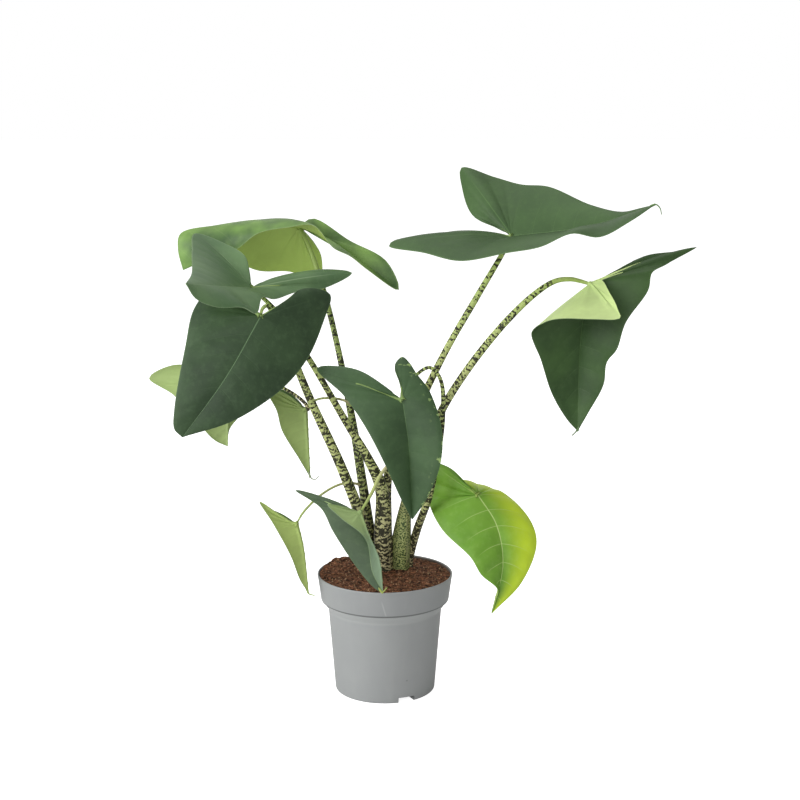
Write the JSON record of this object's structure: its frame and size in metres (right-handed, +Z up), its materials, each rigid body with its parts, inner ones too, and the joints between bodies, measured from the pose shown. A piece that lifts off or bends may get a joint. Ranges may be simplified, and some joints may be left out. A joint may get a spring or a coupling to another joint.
{
  "type": "potted alocasia",
  "caption": "Live zebra-stalked alocasia with arrowhead leaves on banded stalks, growing in a round grey nursery pot.",
  "frame": {"origin": "centre of the pot's flat underside", "axes": "+Z up along the pot's axis, -Y the side of the plant that faces out"},
  "size_m": [0.674, 0.3047, 0.6504],
  "materials": {
    "pot": "satin moulded grey plastic",
    "potting_mix": "rough fibrous coir and peat",
    "stalk": "smooth, pale green with dark brown zigzag bands",
    "leaf_dark": "dark green, soft sheen, pale midrib, paler underside",
    "leaf_light": "mid to light green, pale underside showing",
    "leaf_young": "bright yellow-green, soft sheen"
  },
  "bodies": {
    "root": {"pot": "pot", "potting_mix": "potting_mix", "stalk_upper_right": "stalk", "stalk_far_right": "stalk", "stalk_centre": "stalk", "stalk_front_left": "stalk", "stalk_upper_left": "stalk", "stalk_top_left": "stalk", "stalk_hidden_left": "stalk", "stalk_small_left": "stalk", "stalk_low_left": "stalk", "stalk_low_front": "stalk", "stalk_low_right": "stalk", "leaf_upper_right": "leaf_dark", "leaf_far_right": "leaf_dark", "leaf_centre": "leaf_dark", "leaf_front_left": "leaf_dark", "leaf_upper_left": "leaf_dark", "leaf_top_left": "leaf_light", "leaf_hidden_left": "leaf_light", "leaf_small_left": "leaf_light", "leaf_low_left": "leaf_light", "leaf_low_front": "leaf_dark", "leaf_low_right": "leaf_young"}
  },
  "joints": []
}
